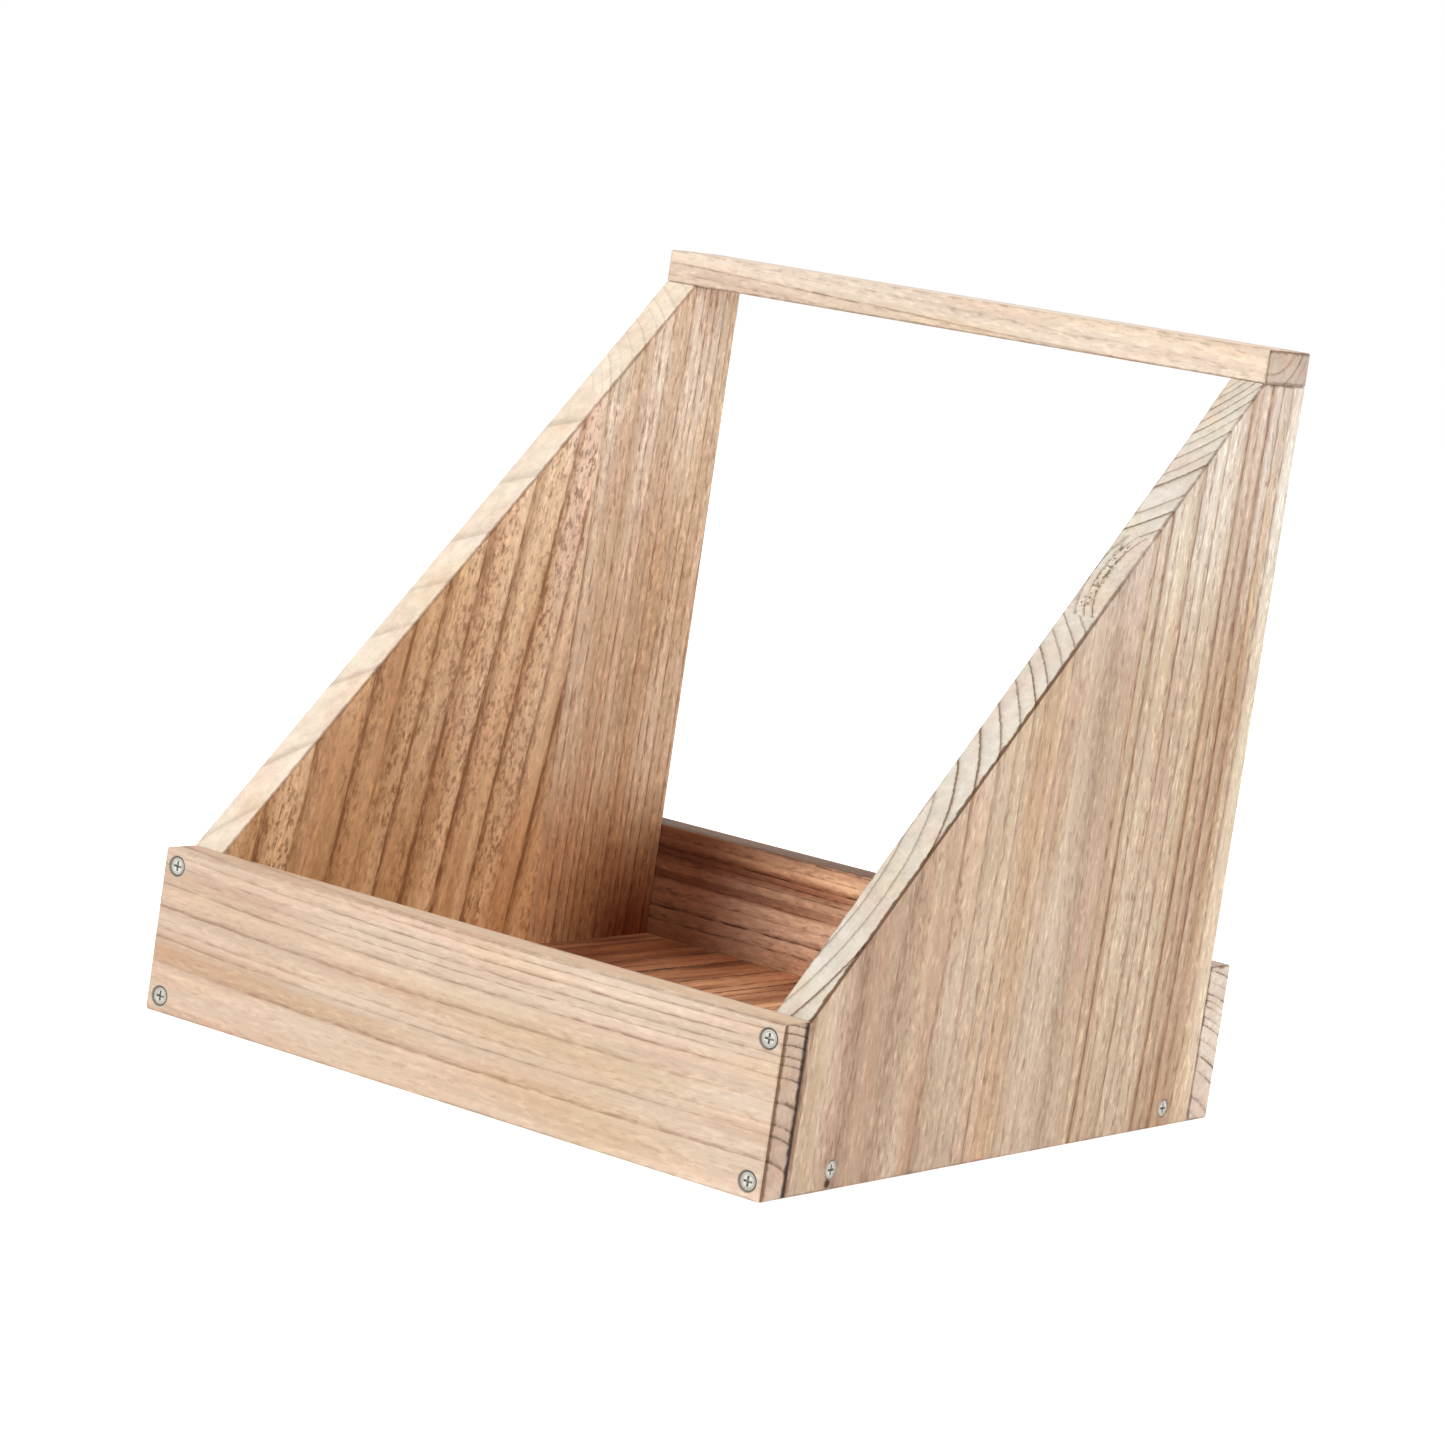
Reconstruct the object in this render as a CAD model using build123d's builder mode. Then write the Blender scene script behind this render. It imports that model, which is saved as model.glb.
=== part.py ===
from build123d import *
from math import radians, tan
import os

# Magazine rack: a shallow tray between two tall sloping sides, with a handle rail across their tops.
# Millimetres. X runs across the rack, -Y is the front and +Z is up. The origin is the middle of the
# footprint, on the surface that the rack stands on.

os.makedirs("parts", exist_ok=True)

# Overall sizes
rack_width = 300  # over the ends of the front board, the back board and the rail
side_depth = 290  # a side panel, from its front edge to its back edge
side_height = 305  # from the ground to the flat top that carries the rail

# Boards
front_board_height = 65
front_board_thickness = 16
back_board_height = 65
back_board_thickness = 16
side_thickness = 16
floor_thickness = 15
rail_depth = 34
rail_thickness = 14
arris_radius = 1.0  # the softened edges of the boards, side panels and rail

# Widths of the edge-glued staves. The last stave of each panel takes what is left.
left_front_stave_width = 104
left_middle_stave_width = 99
right_front_stave_width = 155
right_middle_stave_width = 33
floor_left_stave_width = 96
floor_middle_stave_width = 84

# Countersunk cross-recess wood screws, all of one size
screw_head_diameter = 7.0
screw_head_angle = 90
screw_rim = 0.25  # the straight edge of the head, above its cone
screw_shank_diameter = 3.5
screw_length = 30
screw_point_length = 6
recess_span = 4.0
recess_slot = 0.9
recess_depth = 1.4
recess_taper = 8  # degrees, so that the cross narrows towards its bottom
head_sink = 0.5  # how far a head lies below the face of the board

# Screw holes and places
through_clearance = 0.2  # on the radius, in the board that is held
pilot_clearance = 0.05  # on the radius, in the piece that the point enters
pilot_run_out = 1.5  # hole left beyond the point
screw_inset = 6.5  # from the ends and long edges of a board to its screws
side_screw_front_inset = 28  # from the front edge of a side panel
side_screw_back_inset = 21.5  # from the back edge of a side panel

# Worked-out places
side_front_y = (front_board_thickness - back_board_thickness - side_depth) / 2
side_back_y = side_front_y + side_depth
rack_front_y = side_front_y - front_board_thickness
rack_back_y = side_back_y + back_board_thickness
rack_side_x = rack_width / 2
inner_side_x = rack_side_x - side_thickness
rail_front_y = side_back_y - rail_depth
rack_top_z = side_height + rail_thickness
slope_start_z = front_board_height
side_screw_z = floor_thickness / 2
screw_x = rack_side_x - screw_inset
shank_radius = screw_shank_diameter / 2
head_radius = screw_head_diameter / 2
countersink_slope = tan(radians(screw_head_angle / 2))
screw_cone_depth = (head_radius - shank_radius) / countersink_slope
countersink_radius = head_radius + (head_sink + screw_rim) * countersink_slope
through_radius = shank_radius + through_clearance
pilot_radius = shank_radius + pilot_clearance

# The faces that screws are driven into. Each plane's normal points out of the wood.
front_face = Plane(origin=(0, rack_front_y, 0), x_dir=(1, 0, 0), z_dir=(0, -1, 0))
back_face = Plane(origin=(0, rack_back_y, 0), x_dir=(-1, 0, 0), z_dir=(0, 1, 0))
left_face = Plane(origin=(-rack_side_x, 0, 0), x_dir=(0, -1, 0), z_dir=(-1, 0, 0))
right_face = Plane(origin=(rack_side_x, 0, 0), x_dir=(0, 1, 0), z_dir=(1, 0, 0))
top_face = Plane(origin=(0, 0, rack_top_z), x_dir=(1, 0, 0), z_dir=(0, 0, 1))


def corner_places(plane, across, low, high):
    """Four places on a plane: two heights at each end, the same distance from the middle."""
    return [plane * Pos(x, y) for x in (-across, across) for y in (low, high)]


front_screw_places = corner_places(front_face, screw_x, screw_inset, front_board_height - screw_inset)
back_screw_places = corner_places(back_face, screw_x, screw_inset, back_board_height - screw_inset)
rail_screw_places = corner_places(top_face, screw_x, rail_front_y + screw_inset, side_back_y - screw_inset)
side_screw_ys = (side_front_y + side_screw_front_inset, side_back_y - side_screw_back_inset)
left_screw_places = [left_face * Pos(-y, side_screw_z) for y in side_screw_ys]
right_screw_places = [right_face * Pos(y, side_screw_z) for y in side_screw_ys]


def drill_through(places):
    """Countersunk clearance holes for screws whose heads lie head_sink below the face."""
    with Locations(places):
        CounterSinkHole(through_radius, countersink_radius, counter_sink_angle=screw_head_angle)


def drill_pilots(places):
    """Blind holes as long as the screws reach, measured from the face their heads are in."""
    with Locations(places):
        Hole(pilot_radius, depth=head_sink + screw_length + pilot_run_out)


def save(piece, name):
    """Label a finished piece and write it as its own file."""
    piece.part.label = name
    export_step(piece.part, "parts/" + name + ".step")


# Front board, with its four countersunk holes
with BuildPart() as front_board:
    with BuildSketch(Plane.XZ.offset(-side_front_y)):
        with Locations((0, front_board_height / 2)):
            Rectangle(rack_width, front_board_height)
    extrude(amount=front_board_thickness)
    fillet(front_board.edges(), radius=arris_radius)
    drill_through(front_screw_places)
save(front_board, "front_board")

# Back board, with its four countersunk holes
with BuildPart() as back_board:
    with BuildSketch(Plane.XZ.offset(-rack_back_y)):
        with Locations((0, back_board_height / 2)):
            Rectangle(rack_width, back_board_height)
    extrude(amount=back_board_thickness)
    fillet(back_board.edges(), radius=arris_radius)
    drill_through(back_screw_places)
save(back_board, "back_board")


# Side panels. Each is shaped and drilled whole, as a glued-up panel is, then told apart into staves.
def side_panel(inner_x, outward, screw_places):
    """A side panel whose inner face is at inner_x; outward is 1 on the right and -1 on the left."""
    with BuildPart() as panel:
        with BuildSketch(Plane.YZ.offset(inner_x)):
            with BuildLine():
                Polyline(
                    (side_front_y, 0),
                    (side_front_y, slope_start_z),
                    (rail_front_y, side_height),
                    (side_back_y, side_height),
                    (side_back_y, 0),
                    close=True,
                )
            make_face()
        extrude(amount=outward * side_thickness)
        fillet(panel.edges().filter_by(Axis.X, reverse=True), radius=arris_radius)
        drill_through(screw_places)
        drill_pilots(front_screw_places + back_screw_places + rail_screw_places)
    return panel.part


def side_stave(panel, low_y, high_y):
    """The stave of a side panel that lies between two upright glue lines."""
    with BuildPart() as stave:
        add(panel)
        with BuildSketch(Plane.XY):
            with Locations((0, (low_y + high_y) / 2)):
                Rectangle(rack_width, high_y - low_y)
        extrude(amount=side_height, mode=Mode.INTERSECT)
    return stave


left_panel = side_panel(-inner_side_x, -1, left_screw_places)
left_joint_1_y = side_front_y + left_front_stave_width
left_joint_2_y = left_joint_1_y + left_middle_stave_width
save(side_stave(left_panel, side_front_y, left_joint_1_y), "left_front_stave")
save(side_stave(left_panel, left_joint_1_y, left_joint_2_y), "left_middle_stave")
save(side_stave(left_panel, left_joint_2_y, side_back_y), "left_back_stave")

right_panel = side_panel(inner_side_x, 1, right_screw_places)
right_joint_1_y = side_front_y + right_front_stave_width
right_joint_2_y = right_joint_1_y + right_middle_stave_width
save(side_stave(right_panel, side_front_y, right_joint_1_y), "right_front_stave")
save(side_stave(right_panel, right_joint_1_y, right_joint_2_y), "right_middle_stave")
save(side_stave(right_panel, right_joint_2_y, side_back_y), "right_back_stave")


# Floor, edge-glued from three staves that run from front to back
def floor_stave(low_x, high_x):
    """A floor stave between two glue lines, drilled where the side screws enter it."""
    with BuildPart() as stave:
        with BuildSketch(Plane.XY):
            with Locations(((low_x + high_x) / 2, (side_front_y + side_back_y) / 2)):
                Rectangle(high_x - low_x, side_depth)
        extrude(amount=floor_thickness)
        drill_pilots(left_screw_places + right_screw_places)
    return stave


floor_joint_1_x = -inner_side_x + floor_left_stave_width
floor_joint_2_x = floor_joint_1_x + floor_middle_stave_width
save(floor_stave(-inner_side_x, floor_joint_1_x), "floor_left_stave")
save(floor_stave(floor_joint_1_x, floor_joint_2_x), "floor_middle_stave")
save(floor_stave(floor_joint_2_x, inner_side_x), "floor_right_stave")

# Handle rail, laid flat across the tops of the sides
with BuildPart() as handle_rail:
    with BuildSketch(Plane.XY.offset(side_height)):
        with Locations((0, (rail_front_y + side_back_y) / 2)):
            Rectangle(rack_width, rail_depth)
    extrude(amount=rail_thickness)
    fillet(handle_rail.edges(), radius=arris_radius)
    drill_through(rail_screw_places)
save(handle_rail, "handle_rail")

# One wood screw. The middle of its head's top is at the origin and its point is below.
with BuildPart() as wood_screw:
    with BuildSketch(Plane.XZ):
        with BuildLine():
            Polyline(
                (0, 0),
                (head_radius, 0),
                (head_radius, -screw_rim),
                (shank_radius, -screw_rim - screw_cone_depth),
                (shank_radius, screw_point_length - screw_length),
                (0, -screw_length),
                close=True,
            )
        make_face()
    revolve(axis=Axis.Z)
    with BuildSketch(Plane.XY):
        Rectangle(recess_span, recess_slot)
        Rectangle(recess_slot, recess_span)
    extrude(amount=-recess_depth, taper=recess_taper, mode=Mode.SUBTRACT)


def screw_group(places):
    """A copy of the wood screw at each place, with its head sunk below the face."""
    with BuildPart() as group:
        with Locations([place * Pos(0, 0, -head_sink) for place in places]):
            add(wood_screw.part)
    return group


save(screw_group(front_screw_places), "front_board_screws")
save(screw_group(back_screw_places), "back_board_screws")
save(screw_group(left_screw_places), "left_side_screws")
save(screw_group(right_screw_places), "right_side_screws")
save(screw_group(rail_screw_places), "rail_screws")
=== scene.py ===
# %% [markdown]
# # A wooden magazine rack
# This lesson dresses a finished design of a magazine rack: a shallow tray between two tall sloping
# sides, with a handle rail across their tops. The design gives every board its exact shape and place.
# What is left for Blender is the hard part of any plain wooden thing: making it look like real wood.
# The first cell loads the design. From here on its boards are ordinary mesh objects, in metres.

# %% Load the design
import math
import random

import bmesh
import bpy
from mathutils import Matrix, Vector


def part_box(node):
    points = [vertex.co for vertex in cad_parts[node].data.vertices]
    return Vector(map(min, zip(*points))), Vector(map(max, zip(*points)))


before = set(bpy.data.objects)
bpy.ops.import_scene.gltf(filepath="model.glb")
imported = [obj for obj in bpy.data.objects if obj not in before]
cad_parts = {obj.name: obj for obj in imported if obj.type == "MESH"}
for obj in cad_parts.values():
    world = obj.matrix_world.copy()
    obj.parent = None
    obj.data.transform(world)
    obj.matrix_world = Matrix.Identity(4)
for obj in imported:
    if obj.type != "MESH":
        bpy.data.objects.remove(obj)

MM = 0.001
X, Y, Z = 0, 1, 2
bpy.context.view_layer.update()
print("pieces:", sorted(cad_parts))

# %% [markdown]
# ## The camera
# A long lens a good way off keeps upright edges nearly parallel, which is how furniture is usually
# shown. The camera looks at the middle of the rack from the front and the right, a little above it,
# and leans to one side. The lean is a turn of the camera about its own line of sight.
# The lens is also shifted down a little, which lets the camera stay nearly level and keeps the uprights
# from leaning towards each other.
# We could aim the camera with a Track To constraint, but that can't lean. Building the three axes of
# the camera as vectors is only a few lines, and it says exactly where the camera is.

# %% Camera
VIEW_AZIMUTH = math.radians(34.92)
VIEW_ELEVATION = math.radians(6.15)
VIEW_LEAN = math.radians(8.45)
VIEW_DISTANCE = 1.738
AIM = Vector((1.0, -13.7, 181.2)) * MM
LENS = 109.16
SHIFT = (-0.0102, -0.0685)

back = Vector((
    math.sin(VIEW_AZIMUTH) * math.cos(VIEW_ELEVATION),
    -math.cos(VIEW_AZIMUTH) * math.cos(VIEW_ELEVATION),
    math.sin(VIEW_ELEVATION),
))
level_right = Vector((0, 0, 1)).cross(back).normalized()
level_up = back.cross(level_right)
right = level_right * math.cos(VIEW_LEAN) + level_up * math.sin(VIEW_LEAN)
up = back.cross(right)

camera_data = bpy.data.cameras.new("camera")
camera_data.lens = LENS
camera_data.shift_x = SHIFT[0]
camera_data.shift_y = SHIFT[1]
camera_data.clip_end = 50
camera = bpy.data.objects.new("camera", camera_data)
camera.matrix_world = Matrix((right, up, back)).transposed().to_4x4()
camera.location = AIM + back * VIEW_DISTANCE
bpy.context.scene.collection.objects.link(camera)
bpy.context.scene.camera = camera
print("camera at", [round(x, 3) for x in camera.location])

# %% [markdown]
# ## The light
# Pale wood is shown best in a white room under soft light: the shadows stay faint, and the grain is
# seen on every side. A white world gives an even light from all round. A sun lamp adds the direction:
# from above, the front and a little to the right. A real sun's disc is half a degree wide and throws
# hard shadows. Here the disc is made very wide, so the lamp acts like a cloudy sky or a big soft box.

# %% Light
WORLD_LIGHT = 1.0
SUN_POWER = 1.5
SUN_WIDTH = math.radians(60)
SUN_DIRECTION = Vector((0.25, -0.60, 0.75))

scene = bpy.context.scene
scene.view_settings.view_transform = "Standard"
world = bpy.data.worlds.new("studio")
world.use_nodes = True
world.node_tree.nodes["Background"].inputs["Color"].default_value = (1, 1, 1, 1)
world.node_tree.nodes["Background"].inputs["Strength"].default_value = WORLD_LIGHT
scene.world = world

sun_data = bpy.data.lights.new("sun", "SUN")
sun_data.energy = SUN_POWER
sun_data.angle = SUN_WIDTH
sun = bpy.data.objects.new("sun", sun_data)
sun.rotation_euler = SUN_DIRECTION.to_track_quat("Z", "Y").to_euler()
scene.collection.objects.link(sun)
print("sun from", [round(x, 2) for x in SUN_DIRECTION.normalized()])

# %% [markdown]
# ## The sweep
# The rack stands on a wide white sheet, a sweep. One square face is enough, so it is a grid of one
# cell. It glows a little, as a light table does, so that no grey shadow lies round the rack.

# %% Sweep
SWEEP_SIZE = 12.0
SWEEP_WHITE = 0.93
SWEEP_GLOW = 0.35

sweep_mesh = bpy.data.meshes.new("sweep")
sheet = bmesh.new()
bmesh.ops.create_grid(sheet, x_segments=1, y_segments=1, size=SWEEP_SIZE / 2)
sheet.to_mesh(sweep_mesh)
sheet.free()
sweep = bpy.data.objects.new("sweep", sweep_mesh)
scene.collection.objects.link(sweep)
sweep_paint = bpy.data.materials.new("sweep_paint")
sweep_paint.use_nodes = True
sweep_shader = sweep_paint.node_tree.nodes["Principled BSDF"]
sweep_shader.inputs["Base Color"].default_value = (SWEEP_WHITE, SWEEP_WHITE, SWEEP_WHITE, 1)
sweep_shader.inputs["Roughness"].default_value = 0.9
sweep_shader.inputs["Emission Color"].default_value = (1, 1, 1, 1)
sweep_shader.inputs["Emission Strength"].default_value = SWEEP_GLOW
sweep_mesh.materials.append(sweep_paint)
print("sweep faces:", len(sweep_mesh.polygons))

# %% [markdown]
# ## Small helpers for shader nodes
# A node material is a graph. Written out by hand, each node takes four or five lines, and the idea is
# lost in them. These helpers add one node and wire it up in a single call. A value can be a number or
# the output of another node, so a formula in nodes reads much like a formula in Python.

# %% Node helpers
def add_node(tree, kind, inputs=None, **settings):
    """Add a node, set its properties, and set or link its inputs."""
    made = tree.nodes.new(kind)
    for name, value in settings.items():
        setattr(made, name, value)
    for key, value in (inputs or {}).items():
        if isinstance(value, bpy.types.NodeSocket):
            tree.links.new(value, made.inputs[key])
        else:
            made.inputs[key].default_value = value
    return made


def calc(tree, operation, *values):
    """One Math node."""
    return add_node(tree, "ShaderNodeMath", dict(enumerate(values)), operation=operation).outputs[0]


def plus(tree, first, second):
    """The sum of two values."""
    return calc(tree, "ADD", first, second)


def minus(tree, first, second):
    """The first value less the second."""
    return calc(tree, "SUBTRACT", first, second)


def times(tree, first, *others):
    """The product of two or more values."""
    product = first
    for value in others:
        product = calc(tree, "MULTIPLY", product, value)
    return product


def gap(tree, value, level):
    """How far a value is from a level, on either side of it."""
    return calc(tree, "ABSOLUTE", minus(tree, value, level))


def vector_calc(tree, operation, *values):
    """One Vector Math node."""
    made = add_node(tree, "ShaderNodeVectorMath", dict(enumerate(values)), operation=operation)
    return made.outputs["Value" if operation == "LENGTH" else "Vector"]


def combine(tree, *values):
    """Three numbers made into a vector."""
    return add_node(tree, "ShaderNodeCombineXYZ", dict(enumerate(values))).outputs[0]


print("number helpers ready")

# %% [markdown]
# Four more helpers bring the things that a finish is made of: a soft step from one value to another, a
# mix of two colours, and smooth noise, which is stretched by giving it fewer lumps along one axis.
# A step with smooth ends is kinder than a hard one, because nothing on a real board starts sharply.

# %% Finish helpers
def fade(tree, value, start, end, low=0.0, high=1.0):
    """A smooth step: low where value is at start, high where it is at end."""
    limits = {"Value": value, "From Min": start, "From Max": end, "To Min": low, "To Max": high}
    return add_node(tree, "ShaderNodeMapRange", limits, interpolation_type="SMOOTHSTEP").outputs["Result"]


def mix_colour(tree, share, first, second, blend="MIX"):
    """Two colours mixed or multiplied by a share."""
    inputs = {0: share, 6: first, 7: second}
    return add_node(tree, "ShaderNodeMix", inputs, data_type="RGBA", blend_type=blend).outputs[2]


def noise(tree, place, per_metre, detail=2.0, roughness=0.5):
    """Smooth 3-D noise, as a value and as a colour. per_metre gives its lumps in a metre of each axis."""
    stretched = vector_calc(tree, "MULTIPLY", place, per_metre)
    inputs = {"Vector": stretched, "Scale": 1.0, "Detail": detail, "Roughness": roughness}
    made = add_node(tree, "ShaderNodeTexNoise", inputs)
    return made.outputs[0], made.outputs[1]


def grain_noise(tree, place, across, along, detail=2.0, roughness=0.5, aside=None):
    """Noise drawn out along a log, which lies along z. aside moves it, so that two can differ."""
    if aside:
        place = vector_calc(tree, "ADD", place, aside)
    return noise(tree, place, (across, across, along), detail, roughness)[0]


def new_group(name, inputs, outputs):
    """An empty node group with named sockets. Returns the group and what it is given."""
    group = bpy.data.node_groups.new(name, "ShaderNodeTree")
    for socket_name, kind in inputs:
        group.interface.new_socket(socket_name, in_out="INPUT", socket_type="NodeSocket" + kind)
    for socket_name, kind in outputs:
        group.interface.new_socket(socket_name, in_out="OUTPUT", socket_type="NodeSocket" + kind)
    return group, group.nodes.new("NodeGroupInput").outputs


print("finish helpers ready")

# %% [markdown]
# ## Wood from the inside out
# A board isn't wrapped in a picture of wood. It is cut from a log, and every line on its faces is the
# edge of a growth ring that goes through it. If we colour the space inside the log, and not the
# surface, then a long face, a sloping cut and an end all show the same rings from different sides, and
# they meet at the corners as they do in real timber.
# This first group takes a place in the log: x and y across it, measured from the pith, and z along it.
# It bends that place with noise stretched along the log, because no tree grows as a perfect cone, and
# gives back the distance from the pith. Slow noise makes the rings wander, quicker noise makes them
# ripple, and very fine noise frays them into fibres.

# %% Group: place in the log
SEED_STEP = (0.37, 0.71, 1.13)
FRAY = 0.9 * MM

in_log, given = new_group(
    "place in the log",
    [("Place", "Vector"), ("Seed", "Float"), ("Wander", "Float")],
    [("Radius", "Float"), ("Seeded", "Vector"), ("Sideways", "Float")])
seed_step = combine(in_log, *(times(in_log, given["Seed"], step) for step in SEED_STEP))
seeded = vector_calc(in_log, "ADD", given["Place"], seed_step)


def shift_from(tree, place, per_metre, amount, detail):
    """A vector that points anywhere, up to an amount, and changes smoothly from place to place."""
    lumps = noise(tree, place, per_metre, detail)[1]
    centred = vector_calc(tree, "SUBTRACT", lumps, (0.5, 0.5, 0.5))
    return add_node(tree, "ShaderNodeVectorMath", {0: centred, "Scale": amount}, operation="SCALE").outputs[0]


slow = shift_from(in_log, seeded, (9, 9, 3.4), times(in_log, given["Wander"], 3.0), 1.0)
ripple = shift_from(in_log, seeded, (60, 60, 17), times(in_log, given["Wander"], 0.55), 2.0)
fray = shift_from(in_log, seeded, (900, 900, 110), FRAY, 2.0)
bent = vector_calc(in_log, "ADD", given["Place"], slow)
bent = vector_calc(in_log, "ADD", bent, vector_calc(in_log, "ADD", ripple, fray))
across_log = vector_calc(in_log, "MULTIPLY", bent, (1, 1, 0))
bent_parts = add_node(in_log, "ShaderNodeSeparateXYZ", {0: bent}).outputs
add_node(in_log, "NodeGroupOutput", {
    "Radius": vector_calc(in_log, "LENGTH", across_log), "Seeded": seeded, "Sideways": bent_parts[1]})
print("log group:", len(in_log.nodes), "nodes")

# %% [markdown]
# ## One ring, over and over
# The second group paints the wood. It is told which ring a place is in and how far through that ring,
# both as one number: 7.25 is a quarter of the way through ring 7. This is a ring-porous wood. Each ring
# starts with a thin brown line of wide pores and is pale after it. The colour ramp is the profile of
# one ring: white is the brown line, black is pale wood.
# A long face shows the line broken into dashes. A saw cut across the grain, which the group knows from
# its Cut input, shows it whole and sharper.

# %% Group: the lines of the wood
RING_PROFILE = ((0.08, 0.80), (0.15, 0.36), (0.30, 0.14), (0.60, 0.04), (0.88, 0.05), (0.96, 0.22))
RING_END = 0.70
SAWN_SHARPER = 0.7

painted, given = new_group(
    "wood colour",
    [("Seeded", "Vector"), ("Count", "Float"), ("Boldness", "Float"), ("Line strength", "Float"),
     ("Fleck strength", "Float"), ("Figure", "Float"), ("Cut", "Float"), ("Pale", "Color"),
     ("Warm", "Color"), ("Line", "Color")],
    [("Colour", "Color"), ("Height", "Float"), ("Roughness", "Float")])
seeded = given["Seeded"]
uncut = minus(painted, 1.0, given["Cut"])
through_ring = calc(painted, "FRACT", given["Count"])
profile = add_node(painted, "ShaderNodeValToRGB", {"Fac": through_ring})
ramp = profile.color_ramp
ramp.elements[0].color = (1, 1, 1, 1)
ramp.elements[1].color = (RING_END, RING_END, RING_END, 1)
for position, grey in RING_PROFILE:
    ramp.elements.new(position).color = (grey, grey, grey, 1)

dashes = fade(painted, grain_noise(painted, seeded, across=620, along=120), 0.34, 0.62, 0.35, 1.0)
dashes = calc(painted, "MAXIMUM", dashes, given["Cut"])
stretches = fade(painted, grain_noise(painted, seeded, across=70, along=9), 0.34, 0.60, 0.45, 1.0)
stretches = calc(painted, "MAXIMUM", stretches, given["Cut"])
sharpness = plus(painted, 1.0, times(painted, given["Cut"], SAWN_SHARPER))
line = calc(painted, "POWER", profile.outputs["Color"], sharpness)
line = times(painted, line, given["Boldness"], dashes, stretches, given["Line strength"])
print("lines:", len(painted.nodes), "nodes")

# %% [markdown]
# Between the lines real wood has detail at every distance you look from. Open pores show as short dark
# flecks, mostly early in the ring. Where the grain is restless they gather into small round marks, the
# figure. Cells that catch the light are pale flecks, and strands and fibres run the whole length.
# Each is a noise at its own scale, drawn out along the grain. A sawn face shows few of them.

# %% Group: the flecks of the wood
porous = fade(painted, through_ring, 0.0, 0.8, 1.0, 0.35)
dark_fleck = fade(painted, grain_noise(painted, seeded, across=640, along=165, roughness=0.6), 0.50, 0.68)
dark_fleck = times(painted, dark_fleck, porous, given["Fleck strength"])
speckle = grain_noise(painted, seeded, across=420, along=250, detail=3.0, roughness=0.65)
speckle = fade(painted, speckle, 0.44, 0.66)
patches = grain_noise(painted, seeded, across=42, along=9, aside=(6.2, 4.4, 2.8))
patches = fade(painted, patches, 0.38, 0.62, 0.25, 1.0)
speckle = times(painted, speckle, patches, given["Figure"])
dark_fleck = plus(painted, dark_fleck, speckle)
dark_fleck = times(painted, dark_fleck, fade(painted, uncut, 0.0, 1.0, 0.2, 1.0))

ASIDE = (3.1, 5.3, 7.7)
light_fleck = grain_noise(painted, seeded, across=560, along=150, roughness=0.6, aside=ASIDE)
light_fleck = fade(painted, light_fleck, 0.50, 0.70)
light_fleck = times(painted, light_fleck, given["Fleck strength"], uncut)
strand = grain_noise(painted, seeded, across=240, along=6)
fibre = grain_noise(painted, seeded, across=1500, along=60)
print("lines and flecks:", len(painted.nodes), "nodes")

# %% [markdown]
# The colour itself starts as two tints of the same wood, a pale one and a warm one, mixed by broad
# zones and deeper early in each ring. A rosy and a golden tint drift over them. Then come the strands,
# the flecks and, last and darkest, the lines. The same values give the relief, because pores are
# hollow, and the roughness, because they are matt.

# %% Group: the colours of the wood
ROSY = (1.0, 0.86, 0.84, 1)
GOLDEN = (1.0, 0.94, 0.76, 1)

zone = fade(painted, grain_noise(painted, seeded, across=45, along=5, aside=ASIDE), 0.36, 0.64)
early = times(painted, fade(painted, through_ring, 0.05, 0.55, 0.75, 0.0), given["Boldness"])
zone = calc(painted, "MAXIMUM", zone, times(painted, early, uncut))
colour = mix_colour(painted, zone, given["Pale"], given["Warm"])
rosy = grain_noise(painted, seeded, across=75, along=11, aside=(9.3, 2.1, 4.9))
colour = mix_colour(painted, fade(painted, rosy, 0.45, 0.68, 0.0, 0.55), colour, ROSY, "MULTIPLY")
golden = grain_noise(painted, seeded, across=60, along=9, aside=(1.7, 8.9, 6.1))
colour = mix_colour(painted, fade(painted, golden, 0.48, 0.70, 0.0, 0.4), colour, GOLDEN, "MULTIPLY")
bright = fade(painted, strand, 0.3, 0.7, 0.93, 1.07)
bright = plus(painted, bright, fade(painted, fibre, 0.3, 0.7, -0.04, 0.04))
bright = plus(painted, bright, times(painted, light_fleck, 0.16))
colour = mix_colour(painted, 1.0, colour, combine(painted, bright, bright, bright), "MULTIPLY")
colour = mix_colour(painted, times(painted, dark_fleck, 0.34), colour, given["Line"])
colour = mix_colour(painted, calc(painted, "MINIMUM", line, 1.0), colour, given["Line"])

hollow = times(painted, plus(painted, line, dark_fleck), -0.6)
relief = plus(painted, hollow, times(painted, fibre, 0.4))
matt = plus(painted, times(painted, line, 0.12), fade(painted, strand, 0.3, 0.7, 0.50, 0.60))
add_node(painted, "NodeGroupOutput", {"Colour": colour, "Height": relief, "Roughness": matt})
print("colour group:", len(painted.nodes), "nodes")

# %% [markdown]
# ## A tree's years
# Evenly spaced rings look printed. A tree has good years and bad, and some years leave a bold line
# and others hardly any. So each board is given its years as a list of pairs: the distance of a line
# from the pith, and how bold it is. We write down the lines that matter most to the look of a board,
# and a seeded random generator makes up the rest, so that every run grows the same tree.
# A Float Curve node turns a distance into a ring count, and a stepped colour ramp gives the boldness.
# A colour ramp holds 32 steps at most, which is enough for a board.

# %% Years
RAMP_LIMIT = 32
YEAR_WIDTH = (0.75, 1.3)
YEAR_BOLD = (0.3, 1.0)
LINE_LEAD = 0.3


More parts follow.
